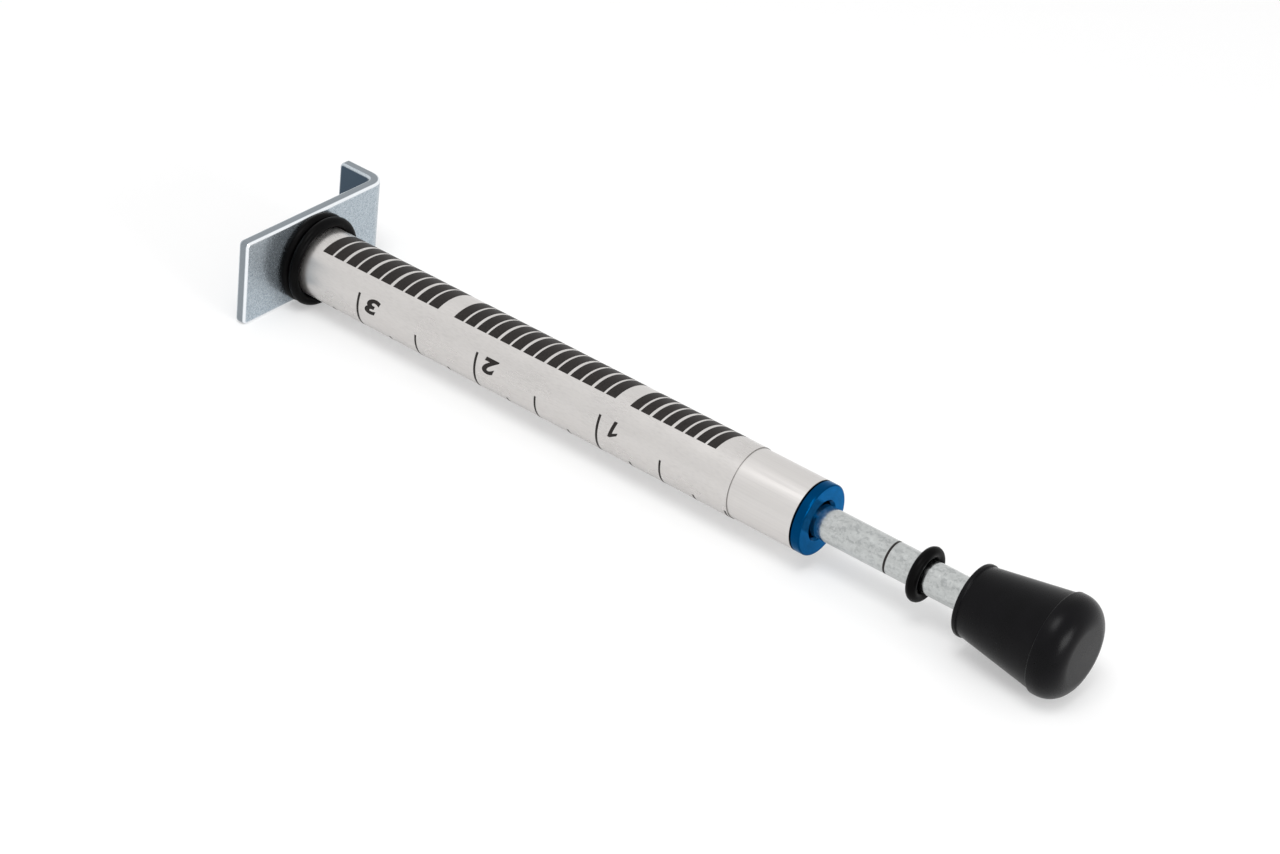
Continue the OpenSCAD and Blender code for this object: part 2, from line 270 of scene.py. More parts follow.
class StageSizes(PropertyGroup):
    """Camera, lamps and floor."""

    camera: place("Camera", "Place of the camera", (0.2614, -0.3811, 0.3019))
    aim: FloatVectorProperty(name="Aim", description="Direction that the camera looks in",
                             default=(-0.4805, 0.6935, -0.5368), size=3, subtype="DIRECTION")
    up: FloatVectorProperty(name="Up", description="Direction that is up in the picture",
                            default=(-0.4049, 0.3676, 0.8372), size=3, subtype="DIRECTION")
    lens: FloatProperty(name="Lens", description="Focal length in millimetres", default=97.52, min=1.0)
    sky: FloatProperty(name="Sky", description="Strength of the even light", default=0.72, min=0.0)
    glow: FloatProperty(name="Glow", description="Share of plain white in the floor as it is seen",
                        default=0.36, min=0.0, max=1.0, subtype="FACTOR")
    key: place("Key", "Place of the main lamp", (0.05, -0.28, 0.80))
    key_size: length("Key size", "Side of the main lamp", 0.36)
    key_power: power("Key power", "Power of the main lamp", 2.55)
    strip: place("Strip", "Place of the low side lamp", (0.60, -0.06, 0.16))
    strip_width: length("Strip width", "Width of the low side lamp", 0.30)
    strip_height: length("Strip height", "Height of the low side lamp", 0.23)
    strip_power: power("Strip power", "Power of the low side lamp", 0.5)
    spread: angle("Spread", "Angle that the low side lamp shines into", 100.0)
    floor_side: length("Floor side", "Side of the floor", 6.0)


class Finish:
    """One procedural material: a principled shader and the nodes that feed it."""

    def __init__(self, name, base, metallic, roughness, specular=0.5):
        self.material = bpy.data.materials.new(name)
        self.material.use_nodes = True
        self.nodes = self.material.node_tree.nodes
        self.links = self.material.node_tree.links
        self.shader = self.nodes["Principled BSDF"]
        self.shader.inputs["Base Color"].default_value = (*base, 1.0)
        self.shader.inputs["Metallic"].default_value = metallic
        self.shader.inputs["Roughness"].default_value = roughness
        self.shader.inputs["Specular IOR Level"].default_value = specular
        self.material.diffuse_color = (*base, 1.0)
        self.coordinates = self.nodes.new("ShaderNodeTexCoord")

    def mapped(self, stretch=(1.0, 1.0, 1.0)):
        """Object coordinates about the barrel's axis, stretched."""
        mapping = self.nodes.new("ShaderNodeMapping")
        mapping.vector_type = "POINT"
        mapping.inputs["Location"].default_value = (0.0, -AXIS_Y * stretch[1], -AXIS_Z * stretch[2])
        mapping.inputs["Scale"].default_value = stretch
        self.links.new(self.coordinates.outputs["Object"], mapping.inputs["Vector"])
        return mapping.outputs["Vector"]

    def grain(self, size, stretch=(1.0, 1.0, 1.0), detail=4.0, rough=0.55, vector=None):
        """Noise whose features measure about size, in metres."""
        noise = self.nodes.new("ShaderNodeTexNoise")
        noise.inputs["Scale"].default_value = 1.0 / size
        noise.inputs["Detail"].default_value = detail
        noise.inputs["Roughness"].default_value = rough
        self.links.new(vector or self.mapped(stretch), noise.inputs["Vector"])
        return noise.outputs["Fac"]

    def crystals(self, size):
        """Random grey per crystal of about size, in metres."""
        cells = self.nodes.new("ShaderNodeTexVoronoi")
        cells.inputs["Scale"].default_value = 1.0 / size
        self.links.new(self.mapped(), cells.inputs["Vector"])
        grey = self.nodes.new("ShaderNodeSeparateColor")
        self.links.new(cells.outputs["Color"], grey.inputs["Color"])
        return grey.outputs["Red"]

    def lathe_lines(self, size):
        """Fine rings that a lathe tool leaves, by distance from the axis and along it."""
        split = self.nodes.new("ShaderNodeSeparateXYZ")
        self.links.new(self.mapped(), split.inputs["Vector"])
        flat = self.nodes.new("ShaderNodeCombineXYZ")
        self.links.new(split.outputs["Y"], flat.inputs["Y"])
        self.links.new(split.outputs["Z"], flat.inputs["Z"])
        radius = self.nodes.new("ShaderNodeVectorMath")
        radius.operation = "LENGTH"
        self.links.new(flat.outputs["Vector"], radius.inputs[0])
        path = self.nodes.new("ShaderNodeCombineXYZ")
        self.links.new(split.outputs["X"], path.inputs["X"])
        self.links.new(radius.outputs["Value"], path.inputs["Y"])
        return self.grain(size, vector=path.outputs["Vector"], detail=2.0)

    def mixed(self, first, second, share=0.5):
        """Two greys blended."""
        mix = self.nodes.new("ShaderNodeMix")
        mix.inputs["Factor"].default_value = share
        self.links.new(first, mix.inputs["A"])
        self.links.new(second, mix.inputs["B"])
        return mix.outputs["Result"]

    def ramp(self, grey, *stops):
        """Colours spread over a grey, from (place, colour) stops."""
        ramp = self.nodes.new("ShaderNodeValToRGB")
        elements = ramp.color_ramp.elements
        while len(elements) < len(stops):
            elements.new(0.5)
        for element, (where, shade) in zip(elements, stops):
            element.position = where
            element.color = (*shade, 1.0)
        self.links.new(grey, ramp.inputs["Fac"])
        return ramp.outputs["Color"]

    def tint(self, grey, *stops):
        """Base colour from a grey."""
        self.links.new(self.ramp(grey, *stops), self.shader.inputs["Base Color"])

    def polish(self, grey, low, high, start=0.3, end=0.7):
        """Roughness from a grey."""
        spread = self.nodes.new("ShaderNodeMapRange")
        spread.inputs["From Min"].default_value = start
        spread.inputs["From Max"].default_value = end
        spread.inputs["To Min"].default_value = low
        spread.inputs["To Max"].default_value = high
        self.links.new(grey, spread.inputs["Value"])
        self.links.new(spread.outputs["Result"], self.shader.inputs["Roughness"])

    def edge_line(self, start, shade):
        """Another colour past a station on the barrel: grey on a cut edge, painted shadow at a joint."""
        split = self.nodes.new("ShaderNodeSeparateXYZ")
        self.links.new(self.coordinates.outputs["Object"], split.inputs["Vector"])
        past = self.nodes.new("ShaderNodeMath")
        past.operation = "GREATER_THAN"
        self.links.new(split.outputs["X"], past.inputs[0])
        past.inputs[1].default_value = start
        tone = self.nodes.new("ShaderNodeMix")
        tone.data_type = "RGBA"
        first, result = MIX_COLOUR
        self.links.new(past.outputs["Value"], tone.inputs[0])
        self.links.new(self.shader.inputs["Base Color"].links[0].from_socket, tone.inputs[first])
        tone.inputs[first + 1].default_value = (*shade, 1.0)
        self.links.new(tone.outputs[result], self.shader.inputs["Base Color"])

    def wear_and_painted_light(self, mask_name, shade, roughness):
        """Colour and polish by a mesh attribute, for wear, painted shade and painted highlights."""
        mask = self.nodes.new("ShaderNodeAttribute")
        mask.attribute_name = mask_name
        tone = self.nodes.new("ShaderNodeMix")
        tone.data_type = "RGBA"
        smooth = self.nodes.new("ShaderNodeMix")
        for mix, name, (first, result), value in ((tone, "Base Color", MIX_COLOUR, (*shade, 1.0)),
                                                  (smooth, "Roughness", MIX_GREY, roughness)):
            self.links.new(mask.outputs["Fac"], mix.inputs[0])
            self.links.new(self.shader.inputs[name].links[0].from_socket, mix.inputs[first])
            mix.inputs[first + 1].default_value = value
            self.links.new(mix.outputs[result], self.shader.inputs[name])

    def relief(self, grey, depth, strength=1.0):
        """Bump of a real depth, in metres, on top of what is there."""
        bump = self.nodes.new("ShaderNodeBump")
        bump.inputs["Distance"].default_value = depth
        bump.inputs["Strength"].default_value = strength
        self.links.new(grey, bump.inputs["Height"])
        before = self.shader.inputs["Normal"].links
        if before:
            self.links.new(before[0].from_socket, bump.inputs["Normal"])
        self.links.new(bump.outputs["Normal"], self.shader.inputs["Normal"])


def scaled(shade, factor):
    """A colour made lighter or darker."""
    return tuple(min(1.0, c * factor) for c in shade)


def zinc_finish(colours):
    """Bright zinc plating with a fine crystal grain."""
    made = Finish("zinc_plating", colours.zinc, 0.78, 0.24)
    crystals = made.crystals(0.00015)
    grain = made.grain(0.0006, detail=6.0, rough=0.65)
    made.tint(made.mixed(crystals, grain, 0.6), (0.28, colours.zinc_dark), (0.5, colours.zinc),
              (0.75, scaled(colours.zinc, 1.2)))
    made.polish(grain, 0.21, 0.3)
    made.wear_and_painted_light("rim", colours.zinc_rim, 0.24)
    # Rounded edges: a painted highlight, partly real polish
    made.wear_and_painted_light("polish_and_highlight", colours.zinc_edge_highlight, 0.14)
    # Painted shade on the inner face of the bend and the flange
    made.wear_and_painted_light("flange_shade_mask", colours.flange_painted_shade, 0.3)
    made.relief(made.mixed(crystals, made.grain(0.00012), 0.5), 0.000004, 0.35)
    return made.material


def aluminium_finish(colours, joint):
    """Drawn aluminium tube: fine lines along it, and a painted shadow line where the cap meets it."""
    made = Finish("drawn_aluminium", colours.aluminium, 1.0, 0.3)
    lines = made.grain(0.00022, (0.012, 1.0, 1.0), detail=3.0)
    cloud = made.grain(0.004, (0.15, 1.0, 1.0))
    made.tint(made.mixed(lines, cloud, 0.4), (0.3, scaled(colours.aluminium, 0.93)), (0.5, colours.aluminium),
              (0.75, scaled(colours.aluminium, 1.04)))
    # Painted shadow on the tube's end, where the cap meets it
    made.edge_line(TUBE_HIGH.x - joint, colours.joint)
    made.polish(lines, 0.3, 0.4)
    made.relief(lines, 0.000004, 0.22)
    return made.material


def film_finish(colours, edge):
    """Satin silver film with a faint grain and a grey line on its cut edge."""
    made = Finish("silver_film", colours.film, 0.9, 0.36)
    grain = made.grain(0.00025, (0.25, 1.0, 1.0), detail=5.0)
    cloud = made.grain(0.006, (0.4, 1.0, 1.0))
    made.tint(made.mixed(grain, cloud, 0.45), (0.32, scaled(colours.film, 0.9)), (0.5, colours.film),
              (0.72, scaled(colours.film, 1.06)))
    made.edge_line(LABEL_HIGH.x - edge, colours.film_cut)
    made.polish(cloud, 0.25, 0.33)
    made.relief(grain, 0.000003, 0.35)
    return made.material


def ink_finish(colours):
    """Screen-printed black, slightly uneven."""
    made = Finish("printed_ink", colours.ink, 0.0, 0.5, 0.2)
    grain = made.grain(0.0003, detail=6.0)
    made.tint(grain, (0.35, scaled(colours.ink, 0.7)), (0.7, scaled(colours.ink, 1.7)))
    made.polish(grain, 0.42, 0.6)
    made.relief(grain, 0.000003, 0.4)
    return made.material


def anodise_finish(colours):
    """Blue anodised aluminium with fine turning lines."""
    made = Finish("blue_anodising", colours.blue, 1.0, 0.2)
    made.shader.inputs["Specular Tint"].default_value = (*colours.blue_gloss, 1.0)
    lines = made.lathe_lines(0.00007)
    cloud = made.grain(0.0016)
    made.tint(made.mixed(lines, cloud, 0.5), (0.3, scaled(colours.blue, 0.72)), (0.5, colours.blue),
              (0.75, scaled(colours.blue, 1.3)))
    made.polish(cloud, 0.14, 0.24)
    # Painted shade on the cap's side
    made.wear_and_painted_light("side", colours.blue_side_shade, 0.24)
    made.relief(lines, 0.000002, 0.4)
    return made.material


def galvanised_finish(colours):
    """Dull zinc coat with pale and grey patches and small pits."""
    made = Finish("zinc_coat", colours.rod, 1.0, 0.3)
    cloud = made.grain(0.0009, (0.6, 1.0, 1.0), detail=5.0, rough=0.6)
    patches = made.mixed(cloud, made.crystals(0.0004), 0.25)
    pits = made.grain(0.00018, detail=3.0)
    made.tint(patches, (0.3, colours.rod_dark), (0.5, colours.rod), (0.72, scaled(colours.rod, 1.12)))
    made.polish(patches, 0.12, 0.22)
    made.relief(patches, 0.000004, 0.16)
    made.relief(pits, 0.000003, 0.14)
    return made.material


def tip_finish(colours):
    """Moulded rubber with a satin skin and slight bloom."""
    made = Finish("moulded_rubber", colours.tip, 0.0, 0.33, 0.1)
    bloom = made.grain(0.005, detail=5.0)
    skin = made.grain(0.00022, detail=4.0)
    made.tint(bloom, (0.35, scaled(colours.tip, 0.75)), (0.7, scaled(colours.tip, 1.5)))
    made.polish(made.mixed(bloom, skin), 0.24, 0.34)
    made.relief(skin, 0.00001, 0.45)
    return made.material


def ring_finish(colours):
    """Rubber of the rings, smoother than the tip's."""
    made = Finish("ring_rubber", colours.ring, 0.0, 0.3, 0.04)
    skin = made.grain(0.00018, detail=4.0)
    bloom = made.grain(0.0022)
    made.tint(bloom, (0.35, scaled(colours.ring, 0.75)), (0.7, scaled(colours.ring, 1.5)))
    made.polish(bloom, 0.28, 0.44)
    made.relief(skin, 0.000006, 0.4)
    return made.material


def steel_finish(name, base):
    """Plain steel with turning lines."""
    made = Finish(name, base, 1.0, 0.32)
    lines = made.lathe_lines(0.00009)
    cloud = made.grain(0.0012)
    made.tint(made.mixed(lines, cloud), (0.3, scaled(base, 0.75)), (0.7, scaled(base, 1.15)))
    made.polish(cloud, 0.25, 0.42)
    made.relief(lines, 0.000004, 0.4)
    return made.material


def nylon_finish(colours):
    """Natural nylon, turned."""
    made = Finish("natural_nylon", colours.nylon, 0.0, 0.45)
    cloud = made.grain(0.0015)
    made.tint(cloud, (0.3, scaled(colours.nylon, 0.92)), (0.7, scaled(colours.nylon, 1.04)))
    made.relief(made.lathe_lines(0.0001), 0.000005, 0.4)
    return made.material


def seen(nodes, links, share):
    """A share for the rays that show a surface directly, in metal or through glass, and none for light."""
    rays = nodes.new("ShaderNodeLightPath")
    total = rays.outputs["Is Camera Ray"]
    for name in ("Is Glossy Ray", "Is Transmission Ray"):
        add = nodes.new("ShaderNodeMath")
        add.operation = "ADD"
        add.use_clamp = True
        links.new(total, add.inputs[0])
        links.new(rays.outputs[name], add.inputs[1])
        total = add.outputs["Value"]
    part = nodes.new("ShaderNodeMath")
    part.operation = "MULTIPLY"
    links.new(total, part.inputs[0])
    part.inputs[1].default_value = share
    return part.outputs["Value"]


def floor_finish(colours, glow):
    """Pale matt board whose shadows look light."""
    made = Finish("pale_board", colours.floor, 0.0, 0.9, 0.0)
    fibre = made.grain(0.003, detail=3.0)
    made.tint(fibre, (0.3, scaled(colours.floor, 0.997)), (0.7, colours.floor))
    white = made.nodes.new("ShaderNodeEmission")
    white.inputs["Color"].default_value = (*colours.light, 1.0)
    mix = made.nodes.new("ShaderNodeMixShader")
    made.links.new(seen(made.nodes, made.links, glow), mix.inputs["Fac"])
    made.links.new(made.shader.outputs["BSDF"], mix.inputs[1])
    made.links.new(white.outputs["Emission"], mix.inputs[2])
    made.links.new(mix.outputs["Shader"], made.nodes["Material Output"].inputs["Surface"])
    return made.material


def arc(centre, radius, first, last, steps=ARC_STEPS):
    """Points (station, radius) on an arc of a turned outline; angles in degrees, 0 is outwards."""
    angles = [math.radians(first + (last - first) * i / steps) for i in range(steps + 1)]
    return [(centre[0] + radius * math.sin(a), centre[1] + radius * math.cos(a)) for a in angles]


def turned_mesh(name, outline, first=0.0, sweep=FULL_TURN, steps=TURN_STEPS):
    """A closed solid turned about the barrel's axis from (station, radius) points."""
    bm = bmesh.new()
    whole = sweep > FULL_TURN - TINY
    count = steps if whole else steps + 1
    rings = []
    for x, r in outline:
        turns = [first + sweep * i / steps for i in range(1 if r < TINY else count)]
        rings.append([bm.verts.new((x, AXIS_Y + r * math.cos(a), AXIS_Z + r * math.sin(a))) for a in turns])
    for near, far in zip(rings, rings[1:] + rings[:1]):
        for i in range(steps):
            j = (i + 1) % count
            corners = [near[i % len(near)], near[j % len(near)], far[j % len(far)], far[i % len(far)]]
            face = list(dict.fromkeys(corners))
            if len(face) > 2:
                bm.faces.new(face)
    if not whole:
        bm.faces.new([ring[0] for ring in rings])
        bm.faces.new([ring[-1] for ring in reversed(rings)])
    return closed_mesh(name, bm)


def closed_mesh(name, bm):
    """A mesh from a closed shape, with its faces outwards and smooth up to a set angle."""
    bmesh.ops.recalc_face_normals(bm, faces=bm.faces)
    mesh = bpy.data.meshes.new(name)
    bm.to_mesh(mesh)
    bm.free()
    return smoothed(mesh)


def masked(mesh, name, low, high):
    """Marks the points of a turned mesh between two stations."""
    mask = mesh.attributes.new(name, "FLOAT", "POINT")
    for point, mark in zip(mesh.vertices, mask.data):
        mark.value = float(low - TINY < point.co.x < high + TINY)
    return mesh


def smoothed(mesh):
    """Smooth shading that stops at real edges."""
    mesh.polygons.foreach_set("use_smooth", [True] * len(mesh.polygons))
    mesh.set_sharp_from_angle(angle=SMOOTH_ANGLE)
    return mesh


def shown(mesh):
    """An object for a mesh, in the scene and at the origin."""
    made = bpy.data.objects.new(mesh.name, mesh)
    bpy.context.scene.collection.objects.link(made)
    return made


def piece(mesh, material, body, nodes=()):
    """A finished piece that rides on a body and stands for its CAD nodes."""
    made = shown(mesh)
    mesh.materials.clear()
    mesh.materials.append(material)
    even = made.modifiers.new("even_shading", "WEIGHTED_NORMAL")
    even.keep_sharp = True
    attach(made, body)
    if nodes:
        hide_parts(*nodes)
    return made


def dressed(node, material):
    """Gives a CAD node that keeps its own shape a finish."""
    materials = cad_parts[node].data.materials
    if not materials:
        materials.append(material)
    for i in range(len(materials)):
        materials[i] = material


def evaluated(host):
    """The plain mesh of an object with its modifiers; the object goes."""
    graph = bpy.context.evaluated_depsgraph_get()
    mesh = bpy.data.meshes.new_from_object(host.evaluated_get(graph))
    bpy.data.objects.remove(host)
    return mesh


def cut_from(name, body_mesh, cutter_mesh):
    """One closed shape with another cut out of it."""
    body, cutter = shown(body_mesh), shown(cutter_mesh)
    cut = body.modifiers.new("cut", "BOOLEAN")
    cut.operation = "DIFFERENCE"
    cut.solver = "EXACT"
    cut.object = cutter
    mesh = evaluated(body)
    bpy.data.objects.remove(cutter)
    mesh.name = name
    return smoothed(mesh)


def joined(name, meshes):
    """Several meshes as one."""
    bm = bmesh.new()
    for mesh in meshes:
        bm.from_mesh(mesh)
        bpy.data.meshes.remove(mesh)
    made = bpy.data.meshes.new(name)
    bm.to_mesh(made)
    bm.free()
    return smoothed(made)


class Tree:
    """A Geometry Nodes tree with named inputs."""

    SOCKETS = {float: "NodeSocketFloat", int: "NodeSocketInt", str: "NodeSocketMaterial"}

    def __init__(self, name, **inputs):
        self.group = bpy.data.node_groups.new(name, "GeometryNodeTree")
        self.group.interface.new_socket("Geometry", in_out="OUTPUT", socket_type="NodeSocketGeometry")
        for label, kind in inputs.items():
            self.group.interface.new_socket(label, in_out="INPUT", socket_type=self.SOCKETS[kind])
        self.source = self.group.nodes.new("NodeGroupInput")
        self.inputs = self.source.outputs

    def add(self, kind, settings=None, **values):
        """A node, with its settings, and values or links for its inputs by socket name."""
        node = self.group.nodes.new(kind)
        for key, value in (settings or {}).items():
            setattr(node, key, value)
        for key, value in values.items():
            self.feed(node.inputs[key.replace("_", " ")], value)
        return node

    def feed(self, socket, value):
        """Links a socket to a socket, or sets its value."""
        if isinstance(value, bpy.types.NodeSocket):
            self.group.links.new(value, socket)
        else:
            socket.default_value = value

    def calc(self, operation, first, second=0.0):
        """A sum on one or two values."""
        node = self.group.nodes.new("ShaderNodeMath")
        node.operation = operation
        self.feed(node.inputs[0], first)
        self.feed(node.inputs[1], second)
        return node.outputs["Value"]

    def point(self, x, y, z):
        """A vector from three values."""
        return self.add("ShaderNodeCombineXYZ", X=x, Y=y, Z=z).outputs["Vector"]

    def round_axis(self, x, radius, turn):
        """A point at a station, a radius and an angle about the barrel's axis."""
        y = self.calc("ADD", self.calc("MULTIPLY", radius, self.calc("COSINE", turn)), AXIS_Y)
        z = self.calc("ADD", self.calc("MULTIPLY", radius, self.calc("SINE", turn)), AXIS_Z)
        return self.point(x, y, z)

    def finish(self, geometry):
        """Ends the tree with plain geometry and its material."""
        plain = self.add("GeometryNodeRealizeInstances", Geometry=geometry).outputs["Geometry"]
        painted = self.add("GeometryNodeSetMaterial", Geometry=plain, Material=self.inputs["Material"])
        last = self.group.nodes.new("NodeGroupOutput")
        self.group.links.new(painted.outputs["Geometry"], last.inputs["Geometry"])

    def grown(self, name, **values):
        """The plain mesh that the tree makes from these inputs."""
        host = shown(bpy.data.meshes.new(name))
        modifier = host.modifiers.new("grow", "NODES")
        modifier.node_group = self.group
        for item in self.group.interface.items_tree:
            if item.in_out == "INPUT":
                modifier[item.identifier] = values[item.name]
        mesh = evaluated(host)
        mesh.name = name
        return mesh


def marks_tree():
    """A row of printed marks that lie round the barrel."""
    tree = Tree("printed_marks", First=float, Pitch=float, Count=int, Width=float, Low=float, High=float,
                Surface=float, Ink=float, Lean=float, Twist=float, Middle=float, Material=str)
    given = tree.inputs
    row = tree.add("GeometryNodeMeshLine", {"mode": "OFFSET"}, Count=given["Count"],
                   Start_Location=tree.point(given["First"], 0.0, 0.0),
                   Offset=tree.point(given["Pitch"], 0.0, 0.0))
    span = tree.calc("SUBTRACT", given["High"], given["Low"])
    run = tree.calc("MULTIPLY", span, given["Surface"])
    mark = tree.add("GeometryNodeMeshCube", Size=tree.point(given["Width"], run, given["Ink"]),
                    Vertices_X=2, Vertices_Y=MARK_STEPS, Vertices_Z=2)
    marks = tree.add("GeometryNodeInstanceOnPoints", Points=row.outputs["Mesh"],
                     Instance=mark.outputs["Mesh"])
    flat = tree.add("GeometryNodeRealizeInstances", Geometry=marks.outputs["Instances"])
    position = tree.add("GeometryNodeInputPosition").outputs["Position"]
    split = tree.add("ShaderNodeSeparateXYZ", Vector=position)
    middle = tree.calc("MULTIPLY", tree.calc("ADD", given["High"], given["Low"]), 0.5)
    x = tree.calc("ADD", split.outputs["X"], tree.calc("MULTIPLY", split.outputs["Y"], given["Lean"]))
    twist = tree.calc("MULTIPLY", tree.calc("SUBTRACT", x, given["Middle"]), given["Twist"])
    straight = tree.calc("ADD", middle, tree.calc("DIVIDE", split.outputs["Y"], given["Surface"]))
    turn = tree.calc("ADD", straight, twist)
    radius = tree.calc("ADD", given["Surface"], split.outputs["Z"])
    wrapped = tree.add("GeometryNodeSetPosition", Geometry=flat.outputs["Geometry"],
                       Position=tree.round_axis(x, radius, turn))
    tree.finish(wrapped.outputs["Geometry"])
    return tree


def ring_tree():
    """A rubber ring of round section, with the fine parting line of its mould."""
    tree = Tree("rubber_ring", Station=float, Path=float, Section=float, Flash=float, Material=str)
    given = tree.inputs
    path = tree.add("GeometryNodeCurvePrimitiveCircle", Resolution=RING_STEPS, Radius=given["Path"])
    section = tree.add("GeometryNodeCurvePrimitiveCircle", Resolution=RING_SECTION_STEPS,
                       Radius=tree.calc("MULTIPLY", given["Section"], 0.5))
    index = tree.add("GeometryNodeInputIndex").outputs["Index"]
    half = RING_SECTION_STEPS / 2
    seam = tree.calc("COMPARE", tree.calc("MODULO", index, half), 0.0)
    middle = tree.calc("COMPARE", index, half)
    outwards = tree.calc("SUBTRACT", seam, tree.calc("MULTIPLY", middle, 2.0))
    lifted = tree.add("GeometryNodeSetPosition", Geometry=section.outputs["Curve"],
                      Offset=tree.point(tree.calc("MULTIPLY", outwards, given["Flash"]), 0.0, 0.0))
    swept = tree.add("GeometryNodeCurveToMesh", Curve=path.outputs["Curve"],
                     Profile_Curve=lifted.outputs["Geometry"])
    turned = tree.add("GeometryNodeTransform", Geometry=swept.outputs["Mesh"],
                      Translation=tree.point(given["Station"], AXIS_Y, AXIS_Z),
                      Rotation=(0.0, math.pi / 2, 0.0))
    tree.finish(turned.outputs["Geometry"])
    return tree


def spring_tree():
    """A compression spring with a closed turn at each end."""
    tree = Tree("closed_spring", Start=float, End=float, Coil=float, Wire=float, Turns=int, Closed=float,
                Material=str)
    given = tree.inputs
    whole = tree.calc("ADD", given["Turns"], 2.0)
    line = tree.add("GeometryNodeCurvePrimitiveLine")
    path = tree.add("GeometryNodeResampleCurve", {"mode": "COUNT"}, Curve=line.outputs["Curve"],
                    Count=tree.calc("MULTIPLY", whole, float(COIL_STEPS)))
    turn = tree.calc("MULTIPLY", tree.add("GeometryNodeSplineParameter").outputs["Factor"], whole)
    radius = tree.calc("MULTIPLY", given["Wire"], 0.5)
    first = tree.calc("ADD", given["Start"], radius)
    last = tree.calc("SUBTRACT", given["End"], radius)
    ends = tree.calc("MULTIPLY", given["Closed"], 2.0)
    open_run = tree.calc("SUBTRACT", tree.calc("SUBTRACT", last, first), ends)
    pitch = tree.calc("DIVIDE", open_run, given["Turns"])
    opened = tree.calc("MINIMUM", tree.calc("MAXIMUM", tree.calc("SUBTRACT", turn, 1.0), 0.0), given["Turns"])
    closed = tree.calc("SUBTRACT", turn, opened)
    x = tree.calc("ADD", first, tree.calc("ADD", tree.calc("MULTIPLY", opened, pitch),
                                          tree.calc("MULTIPLY", closed, given["Closed"])))
    wound = tree.add("GeometryNodeSetPosition", Geometry=path.outputs["Curve"],
                     Position=tree.round_axis(x, given["Coil"], tree.calc("MULTIPLY", turn, FULL_TURN)))
    section = tree.add("GeometryNodeCurvePrimitiveCircle", Resolution=WIRE_STEPS, Radius=radius)
    swept = tree.add("GeometryNodeCurveToMesh", Curve=wound.outputs["Geometry"],
                     Profile_Curve=section.outputs["Curve"], Fill_Caps=True)
    tree.finish(swept.outputs["Mesh"])
    return tree


def bent_plate(sizes):
    """The bracket: a flat strip with rounded edges, bent near one end."""
    half_t = sizes.thickness / 2
    bend_outer = sizes.bend_radius + sizes.thickness
    bend_mid = sizes.bend_radius + half_t
    free_end = PLATE_LOW.y
    bend_start = PLATE_HIGH.y - bend_outer
    bend_end = bend_start + bend_mid * math.pi / 2
    strip_end = bend_end + (PLATE_HIGH.x - PLATE_LOW.x) - bend_outer
    r = sizes.corner_radius
    corners = [(strip_end - r, PLATE_HIGH.z - r, 0), (free_end + r, PLATE_HIGH.z - r, 90),
               (free_end + r, PLATE_LOW.z + r, 180), (strip_end - r, PLATE_LOW.z + r, 270)]
    bm = bmesh.new()
    outline = []
    for s, z, first in corners:
        for i in range(ARC_STEPS + 1):
            a = math.radians(first + 90 * i / ARC_STEPS)
            outline.append(bm.verts.new((-half_t, s + r * math.cos(a), z + r * math.sin(a))))
    face = bm.faces.new(outline)
    raised = bmesh.ops.extrude_face_region(bm, geom=[face])
    for v in raised["geom"]:
        if isinstance(v, bmesh.types.BMVert):
            v.co.x = half_t
    rims = [e for e in bm.edges if abs(e.verts[0].co.x - e.verts[1].co.x) < TINY]
    bmesh.ops.bevel(bm, geom=rims, offset=sizes.edge_round, offset_type="OFFSET", segments=EDGE_STEPS,
                    profile=0.5, affect="EDGES")
    for i in range(BEND_STEPS + 1):
        s = bend_start + (bend_end - bend_start) * i / BEND_STEPS
        bmesh.ops.bisect_plane(bm, geom=[*bm.verts, *bm.edges, *bm.faces], dist=TINY, plane_co=(0, s, 0),
                               plane_no=(0, 1, 0))
    # Painted highlight on the rounded edges, partly real polish; fainter on the belt's side
    polish_and_highlight = bm.verts.layers.float.new("polish_and_highlight")
    # Painted shade on the inner face of the bend and the flange
    flange_shade_mask = bm.verts.layers.float.new("flange_shade_mask")
    rim = bm.verts.layers.float.new("rim")
    for v in bm.verts:
        edge = TINY < half_t - abs(v.co.x) < sizes.edge_round - TINY
        v[polish_and_highlight] = (1.0 if v.co.x > 0 else sizes.belt_side_highlight_share) * edge
        v[flange_shade_mask] = float(v.co.x < TINY - half_t and v.co.y > bend_start + TINY)
        v[rim] = float(abs(v.co.x) < half_t - sizes.edge_round + TINY)
    centre_x = PLATE_HIGH.x - bend_outer
    for v in bm.verts:
        n, s = v.co.x, v.co.y
        if s <= bend_start:
            v.co.x = PLATE_HIGH.x - half_t + n
        elif s <= bend_end:
            a = (s - bend_start) / bend_mid
            v.co.x = centre_x + (bend_mid + n) * math.cos(a)
            v.co.y = bend_start + (bend_mid + n) * math.sin(a)
        else:
            v.co.x = centre_x - (s - bend_end)
            v.co.y = bend_start + bend_mid + n
    plate = closed_mesh("bent_bracket", bm)
    back = PLATE_HIGH.x - sizes.thickness
    past = sizes.thickness
    cone = sizes.sink_radius - sizes.hole_radius
    front = PLATE_HIGH.x + past
    outline = [(back - past, 0.0), (back - past, sizes.sink_radius + past), (back + cone, sizes.hole_radius),
               (front, sizes.hole_radius), (front, 0.0)]
    hole = turned_mesh("screw_hole", outline, steps=SMALL_TURN_STEPS)
    return cut_from("bent_bracket", plate, hole)


